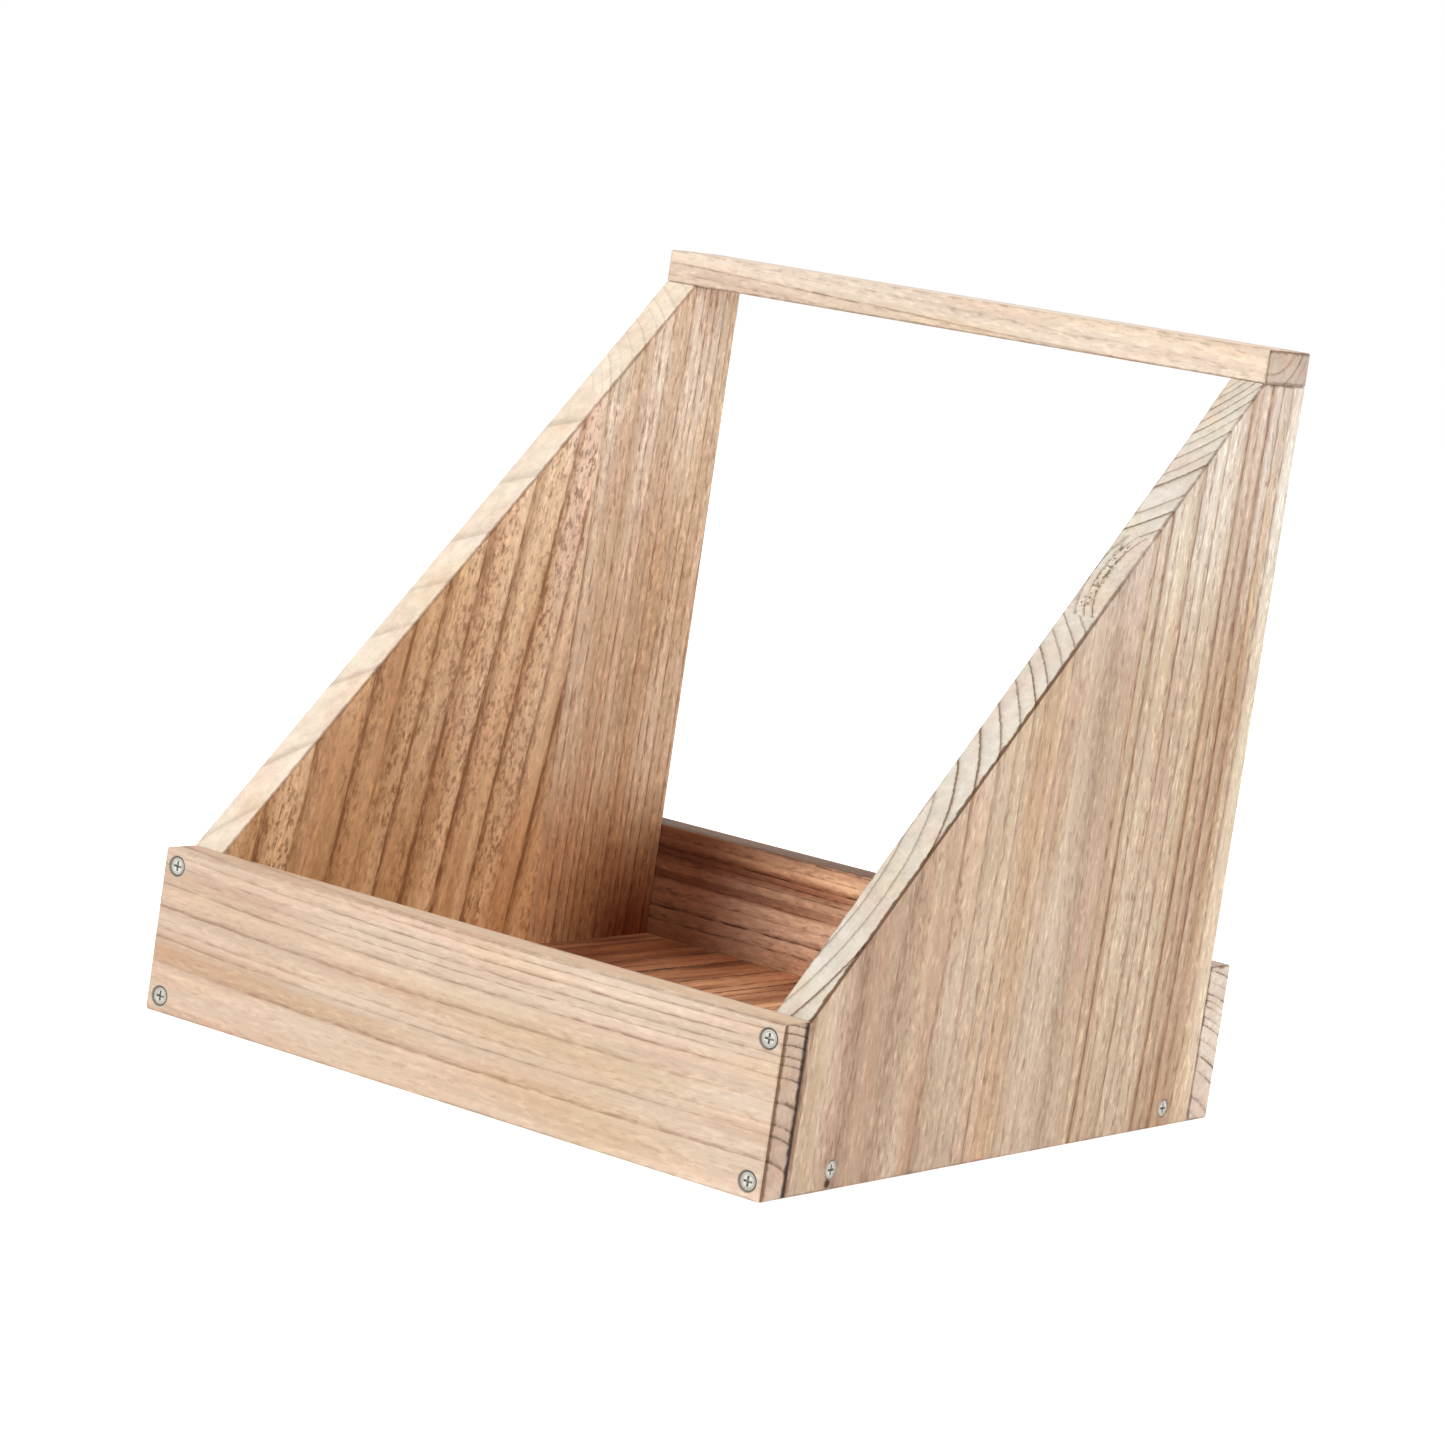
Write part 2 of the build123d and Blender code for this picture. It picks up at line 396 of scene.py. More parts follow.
def grow_years(known, nearest, farthest, width, seed):
    """Ring lines from the nearest to the farthest part of a board, in metres from the pith."""
    rng = random.Random(seed)
    years = sorted((distance * MM, bold) for distance, bold in known)
    while years[-1][0] < farthest + width and len(years) < RAMP_LIMIT - 2:
        step = width * rng.uniform(*YEAR_WIDTH)
        years.append((years[-1][0] + step, rng.uniform(*YEAR_BOLD)))
    while years[0][0] > max(nearest, width) and len(years) < RAMP_LIMIT - 1:
        step = width * rng.uniform(*YEAR_WIDTH)
        years.insert(0, (years[0][0] - step, rng.uniform(*YEAR_BOLD)))
    return years


def count_years(tree, radius, years):
    """The ring count and the boldness of the ring at a radius."""
    first, last = years[0][0], years[-1][0]
    share = add_node(tree, "ShaderNodeMapRange", {
        "Value": radius, "From Min": first, "From Max": last}, clamp=False).outputs["Result"]
    curve = add_node(tree, "ShaderNodeFloatCurve", {"Value": share})
    line_of_growth = curve.mapping.curves[0]
    total = len(years) - 1
    line_of_growth.points[0].location = (0, 0)
    line_of_growth.points[1].location = (1, 1)
    for number, (distance, bold) in enumerate(years[1:-1], 1):
        line_of_growth.points.new((distance - first) / (last - first), number / total)
    for point in line_of_growth.points:
        point.handle_type = "VECTOR"
    curve.mapping.update()
    steps = add_node(tree, "ShaderNodeValToRGB", {"Fac": share})
    ramp = steps.color_ramp
    ramp.interpolation = "CONSTANT"
    ramp.elements.remove(ramp.elements[1])
    ramp.elements[0].position = 0.0
    ramp.elements[0].color = (years[0][1],) * 3 + (1,)
    for before, (distance, bold) in zip(years[:-1], years[1:]):
        start = distance - LINE_LEAD * (distance - before[0])
        ramp.elements.new((start - first) / (last - first)).color = (bold, bold, bold, 1)
    return times(tree, curve.outputs[0], float(total)), steps.outputs["Color"]


print("years ready")

# %% [markdown]
# ## Where the faces and arrises are
# The softened edges of these boards are brown, as if they had been lightly singed, and the sawn slopes
# are paler than the long faces. So a material needs to know how near a place is to a face. A board
# is a box, and the depth under a face is only a subtraction. An arris is where two faces meet: on a
# face the smallest depth is zero and the next is large, but on an arris both are small, so the second
# smallest depth finds it. Edge sensing with Pointiness would need a very dense mesh.

# %% Depths
def depth_between(tree, value, low, high):
    """How far a coordinate is inside the nearer of two faces."""
    return calc(tree, "MINIMUM", minus(tree, value, low), minus(tree, high, value))


def at_face(tree, value, level, reach=0.4 * MM):
    """1 on the face at a level, 0 away from it."""
    return fade(tree, gap(tree, value, level), reach * 0.5, reach, 1.0, 0.0)


def board_arris(tree, xyz, low, high):
    """Depth under the second nearest pair of faces of a plain board."""
    depths = [depth_between(tree, xyz[i], low[i], high[i]) for i in range(3)]
    smaller = calc(tree, "MINIMUM", depths[0], depths[1])
    larger = calc(tree, "MAXIMUM", depths[0], depths[1])
    return calc(tree, "MAXIMUM", smaller, calc(tree, "MINIMUM", larger, depths[2]))


def box_of(*names):
    """The lowest and highest corners of several pieces together."""
    corners = [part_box(name) for name in names]
    low = Vector([min(c[0][i] for c in corners) for i in range(3)])
    high = Vector([max(c[1][i] for c in corners) for i in range(3)])
    return low, high


FLOOR_STAVES = ("floor_left_stave", "floor_middle_stave", "floor_right_stave")
front_low, front_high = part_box("front_board")
back_low, back_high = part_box("back_board")
rail_low, rail_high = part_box("handle_rail")
left_low, left_high = box_of("left_front_stave", "left_middle_stave", "left_back_stave")
right_low, right_high = box_of("right_front_stave", "right_middle_stave", "right_back_stave")
tray_low, tray_high = box_of(*FLOOR_STAVES)
print("tray inside in mm:", [round(side / MM) for side in tray_high - tray_low])

# %% [markdown]
# ## The sloping cut
# The side panels have a fifth edge, which runs from the top of the front board to the front of the
# rail. The depth under it comes from the run and the rise of the slope, both read from the design.

# %% Slope
slope_run = rail_low.y - right_low.y
slope_rise = right_high.z - front_high.z
slope_length = math.hypot(slope_run, slope_rise)


def depth_under_slope(tree, xyz):
    """How far a place is under the sloping edge of a side panel."""
    along = times(tree, minus(tree, xyz[Y], right_low.y), slope_rise / slope_length)
    above = times(tree, minus(tree, xyz[Z], front_high.z), slope_run / slope_length)
    return minus(tree, along, above)


def panel_arris(tree, xyz, low, high):
    """The second smallest depth of a side panel, whose outline has a sloping edge as well."""
    upright = depth_between(tree, xyz[Y], low.y, high.y)
    level = depth_between(tree, xyz[Z], low.z, high.z)
    outline = calc(tree, "MINIMUM", calc(tree, "MINIMUM", upright, level), depth_under_slope(tree, xyz))
    return calc(tree, "MAXIMUM", outline, depth_between(tree, xyz[X], low.x, high.x))


print("slope of", round(math.degrees(math.atan2(slope_rise, slope_run)), 1), "degrees")

# %% [markdown]
# ## Laying a board in its log
# Which way the grain runs, where the pith was, how the board was tilted and whether the log was bent
# decide the pattern of every face. A log that sagged a little gives lines that curve along the board:
# the bow lifts the log's axis by the square of the distance from its lowest place.

# %% Laying a board in its log
LOG_AXES = {"x": (Y, Z, X), "y": (Z, X, Y), "z": (X, Y, Z)}


def lay_in_log(tree, xyz, grain, pith, tilt, bow):
    """A place on the board as a place in the log. bow is where it is lowest, a reach and the rise there."""
    log = combine(tree, *(xyz[axis] for axis in LOG_AXES[grain]))
    if bow:
        lowest, reach, rise = bow
        share = calc(tree, "DIVIDE", minus(tree, xyz[LOG_AXES[grain][2]], lowest), reach)
        log = vector_calc(tree, "SUBTRACT", log, combine(tree, 0.0, times(tree, share, share, rise), 0.0))
    return add_node(tree, "ShaderNodeMapping", {
        "Vector": vector_calc(tree, "SUBTRACT", log, (*pith, 0)),
        "Rotation": (math.radians(tilt[0]), math.radians(tilt[1]), 0)}).outputs[0]


def singed_edges(tree, place, arris, singe, singe_reach):
    """How brown the arrises are: a ragged strip, stronger in some stretches than in others."""
    ragged = noise(tree, place, (190, 190, 190), 3.0)[0]
    reach = plus(tree, arris, fade(tree, ragged, 0.3, 0.7, -0.45 * MM, 0.45 * MM))
    patchy = noise(tree, place, (28, 28, 28), 2.0)[0]
    strip = fade(tree, reach, 0.2 * MM, singe_reach, singe, 0.0)
    return times(tree, strip, fade(tree, patchy, 0.35, 0.6, 0.45, 1.0))


print("grain runs along", sorted(LOG_AXES))

# %% [markdown]
# ## One material for each board
# Every board gets its own material, because every board came from its own place in a log. It also has
# a list of washes. A wash is a mask and a colour that multiplies the wood there: a darker end, a band of
# heartwood, painted shade deep in the tray's corners, or painted light on the tops of the side panels.
# Sawn faces are given apart, as the cut, because a saw changes more than the tint: it has its own pale
# and warm colours and greyer lines, which are bolder or fainter than those of the long faces.

# %% Wood material
SINGED = (0.14, 0.075, 0.042, 1)
# painted shade in the countersinks of the screws
COUNTERSINK_SHADE = (0.10, 0.09, 0.075, 1)
SAWN_LINE = (0.17, 0.115, 0.07, 1)
BROWN = (0.22, 0.12, 0.07)
QUIET_FIGURE = 0.3
WOOD_SHEEN = 0.2
GRAIN_BUMP = 0.6
GRAIN_DEPTH = 0.1 * MM


def wood_material(name, grain, pith, years, low, high, pale, warm, seed, tilt=(0.0, 0.0), panel=False,
                  line=BROWN, wander=1.6 * MM, line_strength=0.8, fleck_strength=1.0, figure=0.2,
                  singe=0.5, singe_reach=1.1 * MM, washes=(), countersink_shade=None, cut=None, bow=None,
                  figured=None):
    """A board's material. pith is where the middle of the log passes, across the grain, in metres.

    cut is a mask of the sawn faces, with their own pale and warm colours, how clean the saw left them
    and how bold their lines are. figured is a mask of where the figure shows in full."""
    material = bpy.data.materials.new(name)
    material.use_nodes = True
    tree = material.node_tree
    shader = tree.nodes["Principled BSDF"]
    place = add_node(tree, "ShaderNodeTexCoord").outputs["Object"]
    xyz = add_node(tree, "ShaderNodeSeparateXYZ", {0: place}).outputs
    log_place = {"Place": lay_in_log(tree, xyz, grain, pith, tilt, bow), "Seed": seed, "Wander": wander}
    logged = add_node(tree, "ShaderNodeGroup", log_place, node_tree=in_log)
    count, bold = count_years(tree, logged.outputs["Radius"], years)
    wood = {
        "Seeded": logged.outputs["Seeded"], "Count": count, "Boldness": bold, "Line strength": line_strength,
        "Fleck strength": fleck_strength, "Figure": figure, "Pale": (*pale, 1), "Warm": (*warm, 1),
        "Line": (*line, 1)}
    if figured:
        wood["Figure"] = fade(tree, figured(tree, xyz, None), 0.0, 1.0, figure * QUIET_FIGURE, figure)
    if cut:
        cut_mask, cut_pale, cut_warm, evenness, cut_boldness = cut
        sawn = cut_mask(tree, xyz, None)
        wood["Pale"] = mix_colour(tree, sawn, (*pale, 1), (*cut_pale, 1))
        wood["Warm"] = mix_colour(tree, sawn, (*warm, 1), (*cut_warm, 1))
        wood["Line"] = mix_colour(tree, sawn, (*line, 1), SAWN_LINE)
        wood["Cut"] = times(tree, sawn, evenness)
        wood["Line strength"] = fade(tree, sawn, 0.0, 1.0, line_strength, cut_boldness)
    grained = add_node(tree, "ShaderNodeGroup", wood, node_tree=painted)

    colour = grained.outputs["Colour"]
    for mask, wash in washes:
        share = mask(tree, xyz, logged.outputs["Sideways"])
        colour = mix_colour(tree, share, colour, (*wash, 1), "MULTIPLY")
    arris = panel_arris(tree, xyz, low, high) if panel else board_arris(tree, xyz, low, high)
    colour = mix_colour(tree, singed_edges(tree, place, arris, singe, singe_reach), colour, SINGED)
    # painted shade in the countersinks of the screws
    if countersink_shade:
        colour = mix_colour(tree, countersink_shade(tree, xyz), colour, COUNTERSINK_SHADE)
    tree.links.new(colour, shader.inputs["Base Color"])
    tree.links.new(grained.outputs["Roughness"], shader.inputs["Roughness"])
    shader.inputs["Specular IOR Level"].default_value = WOOD_SHEEN
    bump = add_node(tree, "ShaderNodeBump", {
        "Height": grained.outputs["Height"], "Strength": GRAIN_BUMP, "Distance": GRAIN_DEPTH})
    tree.links.new(bump.outputs[0], shader.inputs["Normal"])
    return material


print("wood material ready")

# %% [markdown]
# ## Dressing a piece
# A piece takes its material in its first slot. The years of a board only have to reach as far as the
# board does, so one more helper finds its nearest and farthest places from the pith.

# %% Dressing
def dress(node_name, material):
    """Give a piece of the rack its material."""
    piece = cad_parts[node_name]
    piece.data.materials.clear()
    piece.data.materials.append(material)
    print(node_name, "<-", material.name)


def farthest(pith, low, high):
    """The nearest and farthest distances of a rectangle from the pith."""
    near = [max(low[i] - pith[i], pith[i] - high[i], 0) for i in range(2)]
    far = [max(high[i] - pith[i], pith[i] - low[i]) for i in range(2)]
    return math.hypot(*near), math.hypot(*far)


front_reach = farthest(front_low.yz, front_low.yz, front_high.yz)
print("the front board reaches", round(front_reach[1] / MM), "mm from its lower front arris")

# %% [markdown]
# ## Masks for the washes
# A mask is a small function that adds its nodes to a material and gives back a share from 0 to 1. Masks
# made by functions, with the places filled in, can be listed like words beside their colours.
# A band is a soft strip along the grain. It follows the bent sideways coordinate of the log, so it
# wanders just as the rings do.

# %% Masks
def band(middle, half_width, strength=1.0):
    """A strip along the grain, for boards whose log sideways axis runs across the face."""
    def mask(tree, xyz, sideways):
        return fade(tree, gap(tree, sideways, middle), half_width * 0.5, half_width * 1.5, strength, 0.0)
    return mask


def grows(axis, start, end, strength=1.0):
    """Nothing at start, full strength at end, along one axis."""
    def mask(tree, xyz, sideways):
        return fade(tree, xyz[axis], start, end, 0.0, strength)
    return mask


def face(axis, level):
    """One flat face of a board."""
    def mask(tree, xyz, sideways):
        return at_face(tree, xyz[axis], level)
    return mask


def both(first, second):
    """Where two masks overlap."""
    def mask(tree, xyz, sideways):
        return times(tree, first(tree, xyz, sideways), second(tree, xyz, sideways))
    return mask


def along_face(face_axis, level, axis, start, end, strength=1.0):
    """A face, growing from nothing at start to full strength at end along another axis."""
    return both(face(face_axis, level), grows(axis, start, end, strength))


def arris_strip(face_axis, level, axis, edge, width, strength):
    """A strip of a face along one of its edges, with a soft and ragged inner side."""
    def mask(tree, xyz, sideways):
        ragged = noise(tree, combine(tree, *xyz[:3]), (300, 300, 300), 2.0)[0]
        distance = plus(tree, gap(tree, xyz[axis], edge), fade(tree, ragged, 0.3, 0.7, -0.4 * MM, 0.4 * MM))
        strip = fade(tree, distance, width * 0.6, width * 1.3, strength, 0.0)
        return times(tree, at_face(tree, xyz[face_axis], level), strip)
    return mask


print("masks ready")

# %% [markdown]
# ## Painted shade round the screws
# Each screw sits in a dark ring of painted shade, on the wall of its countersink. Four screws stand in
# a rectangle. Folding the board over its two middle lines, with an absolute value, lays all four on top
# of each other, and one distance does for all of them.

# %% Screw rings
COUNTERSINK_SHADE_RADIUS = (3.85 * MM, 4.4 * MM)
COUNTERSINK_SHADE_DEPTH = (1.2 * MM, 1.6 * MM)
COUNTERSINK_SHADE_STRENGTH = 0.85
SCREW_X = 143.5 * MM
SCREW_LOW = 6.5 * MM
SCREW_HIGH = 58.5 * MM
screw_middle = (SCREW_LOW + SCREW_HIGH) / 2
screw_rise = (SCREW_HIGH - SCREW_LOW) / 2


def shade_in_countersinks(up_axis, up_middle, up_offset, face_axis, level):
    """Painted shade in the countersink of each of four screws that stand in a rectangle."""
    def mask(tree, xyz):
        first = minus(tree, gap(tree, xyz[X], 0.0), SCREW_X)
        second = minus(tree, gap(tree, xyz[up_axis], up_middle), up_offset)
        distance = vector_calc(tree, "LENGTH", combine(tree, first, second, 0.0))
        near = fade(tree, distance, *COUNTERSINK_SHADE_RADIUS, COUNTERSINK_SHADE_STRENGTH, 0.0)
        return times(tree, near, fade(tree, gap(tree, xyz[face_axis], level), *COUNTERSINK_SHADE_DEPTH, 1.0, 0.0))
    return mask


print("board screws stand", round(2 * screw_rise / MM), "mm apart")

# %% [markdown]
# ## Front board
# The board was cut close to the pith, which lies a little below it and in front of it. That makes the
# lines wide apart near the bottom and close together near the top, and on the end of the board they
# curve down towards the back. The log sagged a little, so the lines also bow along the board.

# %% Front board
front_pith = (front_low.y - 11 * MM, -28 * MM)
front_years = grow_years(
    [(28, 0.1), (37.6, 0.15), (44.9, 0.85), (54.1, 0.8), (57.8, 0.55), (65.6, 0.85), (74.3, 0.9), (78.8, 0.8),
     (81.7, 0.8), (85.6, 0.9), (89.7, 0.9), (92.7, 0.9)],
    *farthest(front_pith, (front_low.y, front_low.z), (front_high.y, front_high.z)), width=3.6 * MM, seed=11)
amber_band = (both(band(47 * MM, 3.5 * MM, 0.75), grows(X, 30 * MM, -60 * MM)), (0.90, 0.79, 0.66))
# the top face is made a little paler
paler_top = (face(Z, front_high.z), (1.03, 0.98, 0.92))
darker_left = (grows(X, -50 * MM, -110 * MM), (0.93, 0.89, 0.87))
end_front_arris = (arris_strip(X, front_high.x, Y, front_low.y, 2.4 * MM, 1.0), (0.36, 0.27, 0.19))
# the back arris of the end is browned, and painted shadow of its joint with the side panel darkens it further
end_back_arris_and_joint_shadow = (arris_strip(X, front_high.x, Y, front_high.y, 3.2 * MM, 1.0), (0.07, 0.035, 0.022))
dress("front_board", wood_material(
    "front_board_wood", "x", front_pith, front_years, front_low, front_high,
    pale=(0.555, 0.44, 0.345), warm=(0.50, 0.385, 0.285), seed=1.0,
    line_strength=0.9, fleck_strength=0.8, figure=0.1, singe=0.35,
    washes=(amber_band, paler_top, darker_left, end_front_arris, end_back_arris_and_joint_shadow),
    cut=(face(X, front_high.x), (0.485, 0.365, 0.285), (0.43, 0.31, 0.235), 0.5, 2.4),
    bow=(60 * MM, 210 * MM, 5 * MM),
    countersink_shade=shade_in_countersinks(Z, screw_middle, screw_rise, Y, front_low.y)))

# %% [markdown]
# ## Back board
# The back board is seen from inside, across the tray. It is a browner board with bold dark bands. Its
# inner face is given painted shade, which deepens towards the left corner of the tray and towards the
# floor. Its top is darker too. The inner face lies in shade, so its tints are made strong enough to hold
# there, and the first wash tones them down on every other face but the right end.

# %% Back board
def all_but(axis, inner_level, end_axis, end_level):
    """Every face but the inner one and one end."""
    def mask(tree, xyz, sideways):
        inner = at_face(tree, xyz[axis], inner_level, 0.8 * MM)
        end = at_face(tree, xyz[end_axis], end_level)
        return minus(tree, 1.0, calc(tree, "MAXIMUM", inner, end))
    return mask


def inside_back(axis, start, end, strength=1.0):
    """The inner face of the back board, growing along one axis."""
    return along_face(Y, back_low.y, axis, start, end, strength)


HEARTWOOD = (0.50, 0.34, 0.28)
back_pith = (back_low.y - 30 * MM, -60 * MM)
back_years = grow_years(
    [(76.5, 0.8), (86.9, 0.7), (92.6, 1.0), (99, 0.3), (105.3, 1.0), (108.5, 0.6), (113.0, 0.9), (115.6, 0.9),
     (118.4, 1.0), (123.5, 0.4)],
    *farthest(back_pith, (back_low.y, back_low.z), (back_high.y, back_high.z)), width=5.0 * MM, seed=12)
under_top = band(back_high.z - back_pith[1] - 6.5 * MM, 4 * MM, 0.8)
back_shade_and_bands = (
    (all_but(Y, back_low.y, X, back_high.x), (0.62, 0.72, 0.80)),
    (along_face(Z, back_high.z, X, 110 * MM, 20 * MM), (0.30, 0.20, 0.135)),
    (both(under_top, inside_back(X, -120 * MM, -60 * MM)), (1.30, 1.42, 1.30)),
    (inside_back(X, -25 * MM, 30 * MM), (0.66, 0.76, 0.84)),
    # painted shade: the inner face darkens towards the left corner of the tray and towards the floor
    (inside_back(X, -25 * MM, -115 * MM), (0.22, 0.12, 0.077)),
    (inside_back(Z, 30 * MM, 15 * MM, 0.5), (0.75, 0.60, 0.50)),
    (both(band(113.5 * MM, 3.5 * MM, 0.85), inside_back(X, 60 * MM, -60 * MM)), HEARTWOOD),
    (both(band(102.5 * MM, 2.2 * MM, 0.8), inside_back(X, 40 * MM, -80 * MM)), HEARTWOOD))
dress("back_board", wood_material(
    "back_board_wood", "x", back_pith, back_years, back_low, back_high,
    pale=(0.92, 0.64, 0.455), warm=(0.76, 0.48, 0.32), seed=2.0, tilt=(-0.3, 0.0),
    line=(0.15, 0.055, 0.028), wander=1.8 * MM, line_strength=1.2, fleck_strength=1.4,
    figure=0.5, singe=0.9, singe_reach=1.6 * MM, washes=back_shade_and_bands,
    cut=(face(X, back_high.x), (0.62, 0.53, 0.44), (0.55, 0.45, 0.37), 0.5, 1.7),
    countersink_shade=shade_in_countersinks(Z, screw_middle, screw_rise, Y, back_high.y)))

# %% [markdown]
# ## Handle rail
# The rail is the palest piece, with soft grain and one long line that slants across its front. That
# slant is a tilt of the board in its log. The arrises of its end are browned a little.

# %% Handle rail
RAIL_SCREW_REACH = 10.5 * MM
rail_pith = (rail_low.y + 4 * MM, rail_low.z + 31.5 * MM)
rail_middle = (rail_low.y + rail_high.y) / 2
rail_years = grow_years(
    [(9, 0.1), (15, 0.1), (21.2, 0.4), (27.3, 1.0), (31.5, 0.3), (37, 0.2)],
    *farthest(rail_pith, (rail_low.y, rail_low.z), (rail_high.y, rail_high.z)), width=6.0 * MM, seed=13)
rail_washes = (
    (arris_strip(X, rail_high.x, Z, rail_high.z, 1.3 * MM, 0.8), (0.42, 0.34, 0.28)),
    (arris_strip(X, rail_high.x, Z, rail_low.z, 1.3 * MM, 0.7), (0.48, 0.38, 0.31)),
    (arris_strip(X, rail_high.x, Y, rail_low.y, 1.2 * MM, 0.6), (0.50, 0.38, 0.30)))
dress("handle_rail", wood_material(
    "rail_wood", "x", rail_pith, rail_years, rail_low, rail_high,
    pale=(0.665, 0.56, 0.455), warm=(0.59, 0.475, 0.37), seed=3.0, tilt=(-2.1, 0.0),
    line_strength=0.95, fleck_strength=1.0, figure=0.5, singe=0.4, washes=rail_washes,
    cut=(face(X, rail_high.x), (0.47, 0.38, 0.31), (0.41, 0.315, 0.25), 0.5, 2.6),
    countersink_shade=shade_in_countersinks(Y, rail_middle, RAIL_SCREW_REACH, Z, rail_high.z)))

# %% [markdown]
# ## Marks of the sloping cut
# Each side panel was sawn to its slope after it was glued up. The slope shows the rings end on, its
# long outer arris is browned, most of all near its foot, and the washes of the long faces stop at it.
# It is told apart by its depth, as the arrises are.

# %% Slope masks
def slope_face(tree, xyz, sideways):
    """The sawn slope of a side panel."""
    return fade(tree, depth_under_slope(tree, xyz), 0.1 * MM, 0.5 * MM, 1.0, 0.0)


def away_from_slope(mask):
    """The same mask, but not on the sawn slope."""
    def limited(tree, xyz, sideways):
        away = fade(tree, depth_under_slope(tree, xyz), 0.1 * MM, 0.5 * MM)
        return times(tree, mask(tree, xyz, sideways), away)
    return limited


def slope_arris(level, strength_low, strength_high):
    """The browned long arris of the sawn slope, with its strength at the foot and at the top."""
    def mask(tree, xyz, sideways):
        ragged = noise(tree, combine(tree, *xyz[:3]), (260, 260, 260), 2.0)[0]
        distance = plus(tree, gap(tree, xyz[X], level), fade(tree, ragged, 0.3, 0.7, -0.3 * MM, 0.3 * MM))
        strip = fade(tree, distance, 0.7 * MM, 1.4 * MM, 1.0, 0.0)
        strength = fade(tree, xyz[Z], 190 * MM, 230 * MM, strength_low, strength_high)
        near_slope = fade(tree, depth_under_slope(tree, xyz), 0.5 * MM, 0.9 * MM, 1.0, 0.0)
        return times(tree, strip, strength, near_slope)
    return mask


def years_at(face_level, pith, places, bold):
    """Years whose lines come out of a panel's face at given places from front to back."""
    return [
        (math.hypot(face_level - pith[0], place * MM - pith[1]) / MM, boldness)
        for place, boldness in zip(places, bold)]


print("slope masks ready")

# %% [markdown]
# ## Marks of the right side panel
# This panel is seen from outside. Pale clouds lie on its face, where the planer polished the wood. A
# small chip is torn out near the foot of its front edge, and a row of pores lies open on the slope of
# the middle stave, where the saw ran along the grain. Chip and pores are only dark marks: they are
# finer than any edge that a mesh of this rack should carry.

# %% Right side marks
CHIP_Y, CHIP_Z, CHIP_RADIUS = -119.0 * MM, 2.7 * MM, 1.8 * MM
PORES_X, PORES_Y = 140.0 * MM, 26 * MM


def clouds(strength):
    """Soft pale clouds, longer than they are wide."""
    def mask(tree, xyz, sideways):
        cloud = grain_noise(tree, combine(tree, *xyz[:3]), across=32, along=15)
        cloud = fade(tree, cloud, 0.48, 0.66, 0.0, strength)
        return times(tree, cloud, minus(tree, 1.0, slope_face(tree, xyz, sideways)))
    return mask


def chip(tree, xyz, sideways):
    """A small torn chip on a side face."""
    offset = combine(tree, 0.0, minus(tree, xyz[Y], CHIP_Y), minus(tree, xyz[Z], CHIP_Z))
    return fade(tree, vector_calc(tree, "LENGTH", offset), CHIP_RADIUS * 0.6, CHIP_RADIUS * 1.3, 1.0, 0.0)


def torn_cells(tree, xyz, sideways):
    """A row of small open pores on the slope of the middle stave."""
    cells = fade(tree, noise(tree, combine(tree, *xyz[:3]), (800, 520, 520), 2.0)[0], 0.50, 0.58)
    in_row = fade(tree, gap(tree, xyz[X], PORES_X), 1.2 * MM, 3.2 * MM, 1.0, 0.0)
    in_middle = fade(tree, gap(tree, xyz[Y], PORES_Y), 11 * MM, 16 * MM, 1.0, 0.0)
    return times(tree, cells, in_row, in_middle, slope_face(tree, xyz, sideways))


def bands_at(pith, *bands):
    """Washes along the grain. Each has its place from front to back, half width, strength and colour."""
    return tuple(
        (away_from_slope(band(place * MM - pith[1], half_width * MM, strength)), wash)
        for place, half_width, strength, wash in bands)


CLOUDY = (1.10, 1.13, 1.17)
torn_chip = (chip, (0.13, 0.09, 0.06))
open_cells = (torn_cells, (0.42, 0.36, 0.28))
# painted light: the panel is paler towards its top, where more light falls
painted_top_light = (away_from_slope(grows(Z, 170 * MM, 285 * MM)), (1.34, 1.58, 1.94))
brown_arris = (slope_arris(right_high.x, 1.0, 0.35), (0.24, 0.16, 0.11))
print("right side marks ready")

# %% [markdown]
# ## Right side panel
# Each side panel is glued up from three staves. They show best on the sloping cut, where the rings of
# one stave stop at the glue line and those of the next start at another angle. The middle stave is
# narrow, and its rings lie nearly flat to the face, so its outside is nearly plain. The back stave has
# the boldest lines, in bands of darker wood.

# %% Right side panel
SAWN_CREAM = (0.555, 0.505, 0.44)
SAWN_BUFF = (0.52, 0.46, 0.385)
right_outer = right_high.x


def dress_right_stave(name, pith, known, width, evenness, boldness, marks, **look):
    """One stave of the right panel: its years and marks, and the finish that the three share.

    width is that of a usual year. evenness and boldness are those of the sawn slope."""
    low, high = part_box(name)
    reach = farthest(pith, (low.x, low.y), (high.x, high.y))
    dress(name, wood_material(
        name + "_wood", "z", pith, grow_years(known, *reach, width, int(look["seed"])), right_low, right_high,
        panel=True, singe=0.6, washes=(*marks, painted_top_light, brown_arris),
        cut=(slope_face, SAWN_CREAM, SAWN_BUFF, evenness, boldness), **look))


pith = (57 * MM, -105 * MM)
known = years_at(
    right_outer, pith, (-66, -50, -38, -29, -22, -14, -7, -1), (0.9, 0.7, 0.6, 0.9, 0.7, 0.5, 0.6, 0.5))
front_bands = bands_at(
    pith, (-15, 9, 0.7, (1.0, 0.90, 0.76)), (-70, 5, 0.6, (0.86, 0.77, 0.70)),
    (-112, 14, 0.6, (0.90, 0.83, 0.81)))
dress_right_stave(
    "right_front_stave", pith, known, width=6.0 * MM, evenness=0.9, boldness=1.7,
    marks=(*front_bands, (clouds(0.7), CLOUDY), torn_chip),
    pale=(0.49, 0.378, 0.277), warm=(0.415, 0.302, 0.21), seed=4.0, tilt=(1.2, 0.0),
    line_strength=1.1, fleck_strength=1.9, figure=0.8)

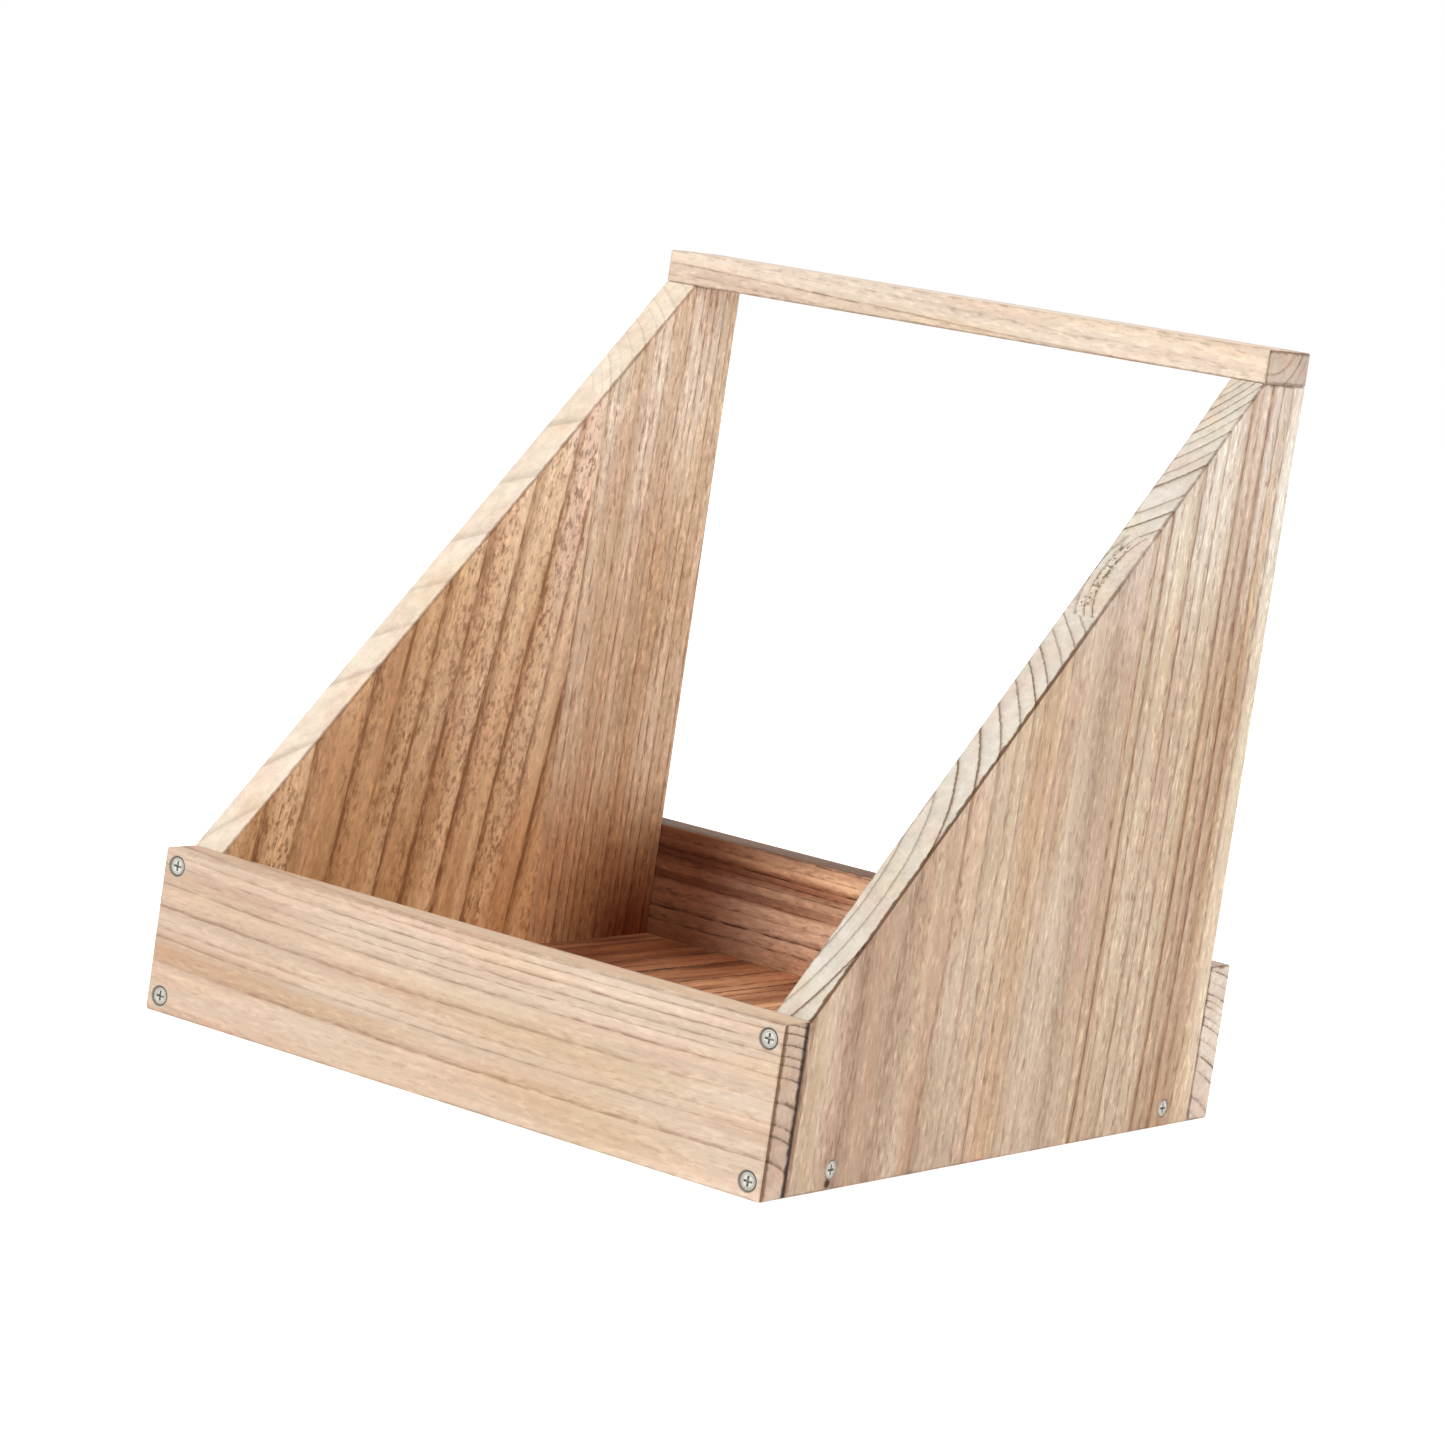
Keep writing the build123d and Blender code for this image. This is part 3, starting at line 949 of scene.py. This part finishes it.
pith = (right_outer + 16 * MM, 27 * MM)
known = [(24.5, 1.0), (27.5, 0.8), (30.5, 0.8)]
dress_right_stave(
    "right_middle_stave", pith, known, width=9.0 * MM, evenness=0.6, boldness=1.6,
    marks=(open_cells, (clouds(0.8), CLOUDY)),
    pale=(0.475, 0.37, 0.272), warm=(0.42, 0.312, 0.22), seed=5.0,
    line_strength=1.0, fleck_strength=1.7, figure=0.7)

pith = (62 * MM, 155 * MM)
known = years_at(
    right_outer, pith, (42, 50, 57, 70, 76, 84, 91, 98, 105, 112, 120, 127),
    (0.7, 1.0, 0.6, 0.8, 0.6, 0.7, 0.5, 1.0, 0.7, 1.0, 0.8, 0.7))
back_bands = bands_at(
    pith, (39, 6, 0.8, (0.88, 0.79, 0.72)), (103, 9, 0.6, (0.88, 0.80, 0.73)),
    (122, 4, 0.8, (0.84, 0.76, 0.68)), (138, 8, 0.9, (1.16, 1.24, 1.27)),
    (50, 2.2, 0.6, (0.72, 0.60, 0.50)), (98, 2.0, 0.6, (0.72, 0.60, 0.50)),
    (112, 2.2, 0.7, (0.70, 0.57, 0.46)))
dress_right_stave(
    "right_back_stave", pith, known, width=5.0 * MM, evenness=0.9, boldness=1.5, marks=back_bands,
    pale=(0.49, 0.38, 0.27), warm=(0.40, 0.285, 0.19), seed=6.0, tilt=(1.5, 0.0),
    line_strength=1.4, fleck_strength=2.4, figure=0.6)

# %% [markdown]
# ## Marks of the left side panel
# This panel is seen from the inside. Its foot stands in the shade of the tray, and that shade is painted
# into its colour: warmer and browner low down, darkest in the back corner. Its top is given painted
# light, so it is paler, with a faint purple strip near the join of two staves. The tints of the inner
# face are made strong to hold their colour in the shade, and the first wash tones them down on every
# other face but the slope.

# %% Left side marks
NO_END = -1.0
left_inner = left_high.x


def strip_at(axis, middle, half_width, strength):
    """A soft strip on either side of a plane through the rack."""
    def mask(tree, xyz, sideways):
        return fade(tree, gap(tree, xyz[axis], middle), half_width, half_width * 2, strength, 0.0)
    return mask


def inside_left(start, end, strength=1.0):
    """The inner face of the left panel, growing upwards or downwards."""
    return along_face(X, left_inner, Z, start, end, strength)


purple_height = away_from_slope(grows(Z, 110 * MM, 190 * MM))
left_shade_light_and_marks = (
    # the strong tints of the inner face, made to hold in the shade, are toned down on the other faces
    (away_from_slope(all_but(X, left_inner, Y, NO_END)), (0.64, 0.71, 0.82)),
    # painted shade: warmer and browner low on the inner face, darkest in its back corner
    (inside_left(130 * MM, 20 * MM, 0.8), (1.06, 0.94, 0.79)),
    (both(inside_left(105 * MM, 35 * MM), grows(Y, 10 * MM, 80 * MM)), (0.90, 0.76, 0.62)),
    (both(inside_left(95 * MM, 10 * MM), grows(Y, 40 * MM, 130 * MM)), (0.235, 0.078, 0.030)),
    # painted light: paler towards the top of the panel
    (away_from_slope(grows(Z, 150 * MM, 270 * MM)), (1.12, 1.29, 1.50)),
    (both(purple_height, strip_at(Y, 48 * MM, 6 * MM, 0.8)), (0.98, 1.0, 1.18)),
    (slope_arris(left_inner, 0.7, 0.6), (0.42, 0.30, 0.22)))
print("left side washes:", len(left_shade_light_and_marks))

# %% [markdown]
# ## Left side panel
# The front staves were sawn across the run of the grain, so their lines lean back as they rise. They
# are strongly figured on the inside, where the restless grain shows as many small round marks, and
# quiet on the outside. The back stave is plainer, with fine close lines.

# %% Left side panel
LEFT_CREAM = (0.64, 0.545, 0.44)
LEFT_BUFF = (0.60, 0.495, 0.385)
LEFT_LINE = (0.27, 0.12, 0.05)
YEARS_INSIDE = 60 * MM
INNERMOST = 20 * MM
LEFT_YEARS_SEED = 20


def dress_left_stave(name, pith, known, width, **look):
    """One stave of the left panel. Its years start well inside the stave, for the lines that lean."""
    low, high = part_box(name)
    nearest, furthest = farthest(pith, (low.x, low.y), (high.x, high.y))
    years_seed = LEFT_YEARS_SEED + int(look["seed"])
    years = grow_years(known, max(nearest - YEARS_INSIDE, INNERMOST), furthest, width, years_seed)
    dress(name, wood_material(
        name + "_wood", "z", pith, years, left_low, left_high, panel=True, line=LEFT_LINE, singe=0.5,
        washes=left_shade_light_and_marks, figured=face(X, left_inner),
        cut=(slope_face, LEFT_CREAM, LEFT_BUFF, 1.0, 0.35), **look))


pith = (left_inner + 60 * MM, -215 * MM)
known = years_at(
    left_inner, pith, (-118, -92, -76, -60, -42, -20, 2, 20, 33, 52),
    (1.0, 1.0, 0.8, 0.8, 1.0, 0.9, 1.0, 0.6, 1.0, 0.7))
dress_left_stave(
    "left_front_stave", pith, known, width=16.0 * MM, pale=(0.84, 0.575, 0.355), warm=(0.60, 0.35, 0.175),
    seed=7.0, tilt=(9.6, 0.0), line_strength=1.6, fleck_strength=1.4, figure=2.4)
dress_left_stave(
    "left_middle_stave", pith, known, width=16.0 * MM, pale=(0.84, 0.58, 0.36), warm=(0.61, 0.36, 0.185),
    seed=7.0, tilt=(9.6, 0.0), line_strength=1.6, fleck_strength=1.4, figure=2.2)

pith = (left_inner - 60 * MM, 5 * MM)
known = years_at(
    left_inner, pith, (62, 68, 75, 82, 86, 92, 99, 104, 111, 115, 120, 127, 133, 139),
    (0.4, 0.5, 0.9, 0.6, 0.8, 0.7, 0.5, 0.9, 0.6, 0.8, 0.7, 0.8, 0.5, 0.7))
dress_left_stave(
    "left_back_stave", pith, known, width=4.2 * MM, pale=(0.67, 0.48, 0.335), warm=(0.55, 0.355, 0.215),
    seed=9.0, tilt=(1.2, 0.0), line_strength=1.4, fleck_strength=2.2, figure=1.0)

# %% [markdown]
# ## Tray floor
# The floor's grain runs from front to back. It lies in the shade of the boards round it, and that shade
# is painted into its colour: a deep red-brown, darkest towards the left and the back. Darker streaks
# follow its grain: a noise drawn out along one axis gives them.

# %% Tray floor
FLOOR_PLACES = ((-125, -112, -98, -90, -82, -62, -48), (-28, -15, 2, 14, 30, 41), (56, 70, 79, 95, 108, 122))
FLOOR_BOLD = (0.5, 0.6, 1.0, 0.5, 1.0, 1.0, 0.6)
FLOOR_YEARS_SEED = 40
STREAK_ACROSS, STREAK_ALONG = 75.0, 9.0
tray_top = tray_high.z


def streaks(tree, xyz, sideways):
    """Long soft streaks from the front to the back."""
    lumps = (STREAK_ACROSS, STREAK_ALONG, STREAK_ACROSS)
    return fade(tree, noise(tree, combine(tree, *xyz[:3]), lumps, 2.0)[0], 0.44, 0.60, 0.0, 0.85)


floor_shade_and_streaks = (
    # painted shade: darker towards the left and the back, less red towards the front and the right
    (along_face(Z, tray_top, X, -20 * MM, -120 * MM, 0.9), (0.50, 0.36, 0.29)),
    (along_face(Z, tray_top, Y, 60 * MM, 140 * MM, 0.7), (0.62, 0.48, 0.40)),
    (along_face(Z, tray_top, Y, 70 * MM, 0), (0.88, 0.97, 1.03)),
    (along_face(Z, tray_top, X, 0, 70 * MM), (0.88, 0.98, 1.05)),
    (streaks, (0.52, 0.42, 0.35)))
for index, name in enumerate(FLOOR_STAVES):
    low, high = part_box(name)
    pith = (tray_top - 25 * MM, low.x - 30 * MM)
    known = years_at(tray_top, pith, FLOOR_PLACES[index], FLOOR_BOLD)
    reach = farthest(pith, (low.z, low.x), (high.z, high.x))
    years = grow_years(known, *reach, width=6.0 * MM, seed=FLOOR_YEARS_SEED + index)
    dress(name, wood_material(
        name + "_wood", "y", pith, years, tray_low, tray_high,
        pale=(0.66, 0.35, 0.185), warm=(0.48, 0.23, 0.11), seed=10.0 + index, tilt=(0.8, 0.0),
        line=(0.075, 0.025, 0.011), line_strength=1.6, fleck_strength=1.4, singe=0.5, washes=floor_shade_and_streaks))

# %% [markdown]
# ## Plated steel
# The screws are zinc-plated steel. Their heads lie a little below the wood, in countersinks. The steel
# is brighter in the middle of the head and greyer on its rim, and the very edge of the head is painted
# nearly black, as painted shade where it meets the countersink. The head has fine turning marks in
# rings. All of this is measured from the middle of each head.

# %% Steel
STEEL_BRIGHT = (0.56, 0.55, 0.505, 1)
STEEL_GREY = (0.40, 0.39, 0.35, 1)
PAINTED_EDGE_SHADE = (0.12, 0.12, 0.11, 1)
STEEL_TARNISH = (0.24, 0.235, 0.20, 1)
RIM = (2.0 * MM, 2.6 * MM)
EDGE = (3.15 * MM, 3.45 * MM)
FAR_AWAY = 1.0
TURNS_PER_METRE = 4200.0
TURNED_BUMP = 0.35
TURNED_DEPTH = 0.03 * MM


def head_material(name, heads, face_axis):
    """Plated steel with rings round the middle of every head. heads gives the middles."""
    material = bpy.data.materials.new(name)
    material.use_nodes = True
    tree = material.node_tree
    shader = tree.nodes["Principled BSDF"]
    shader.inputs["Metallic"].default_value = 0.85
    place = add_node(tree, "ShaderNodeTexCoord").outputs["Object"]
    flat = [0.0 if i == face_axis else 1.0 for i in range(3)]
    nearest = FAR_AWAY
    for middle in heads:
        offset = vector_calc(tree, "MULTIPLY", vector_calc(tree, "SUBTRACT", place, middle), flat)
        nearest = calc(tree, "MINIMUM", nearest, vector_calc(tree, "LENGTH", offset))
    turned = add_node(tree, "ShaderNodeTexNoise", {
        "W": times(tree, nearest, TURNS_PER_METRE), "Scale": 1.0, "Detail": 1.0},
        noise_dimensions="1D").outputs[0]
    worn = noise(tree, place, (420, 420, 420), 3.0)[0]
    grey = mix_colour(tree, fade(tree, nearest, *RIM), STEEL_BRIGHT, STEEL_GREY)
    # painted shade: the very edge of each head is made nearly black
    grey = mix_colour(tree, fade(tree, nearest, *EDGE), grey, PAINTED_EDGE_SHADE)
    grey = mix_colour(tree, fade(tree, worn, 0.4, 0.65, 0.0, 0.35), grey, STEEL_TARNISH)
    tree.links.new(grey, shader.inputs["Base Color"])
    tree.links.new(fade(tree, worn, 0.3, 0.7, 0.30, 0.48), shader.inputs["Roughness"])
    bump = add_node(tree, "ShaderNodeBump", {
        "Height": turned, "Strength": TURNED_BUMP, "Distance": TURNED_DEPTH})
    tree.links.new(bump.outputs[0], shader.inputs["Normal"])
    return material


print("steel ready")

# %% [markdown]
# ## Screws
# One piece holds all the screws of a board, so the middle of each must be found. Its mesh is loose
# triangles. A copy with its doubles merged has one island of faces for each screw, and the middle of
# an island's box is the middle of that screw's head, seen along the screw.

# %% Screws
def head_middles(node_name):
    """The middle of each screw in a piece, from the islands of a merged copy of its mesh."""
    merged = bmesh.new()
    merged.from_mesh(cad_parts[node_name].data)
    bmesh.ops.remove_doubles(merged, verts=merged.verts, dist=0.001 * MM)
    waiting = set(merged.verts)
    middles = []
    while waiting:
        edge_of_island = [waiting.pop()]
        island = list(edge_of_island)
        while edge_of_island:
            vertex = edge_of_island.pop()
            found = {edge.other_vert(vertex) for edge in vertex.link_edges} & waiting
            waiting -= found
            edge_of_island.extend(found)
            island.extend(found)
        low = Vector([min(vertex.co[i] for vertex in island) for i in range(3)])
        high = Vector([max(vertex.co[i] for vertex in island) for i in range(3)])
        middles.append((low + high) / 2)
    merged.free()
    return sorted(middles, key=tuple)


SCREW_AXES = {
    "front_board_screws": Y, "back_board_screws": Y, "left_side_screws": X, "right_side_screws": X,
    "rail_screws": Z}
for node_name, face_axis in SCREW_AXES.items():
    heads = head_middles(node_name)
    print(node_name, len(heads), "heads")
    dress(node_name, head_material(node_name + "_steel", heads, face_axis))
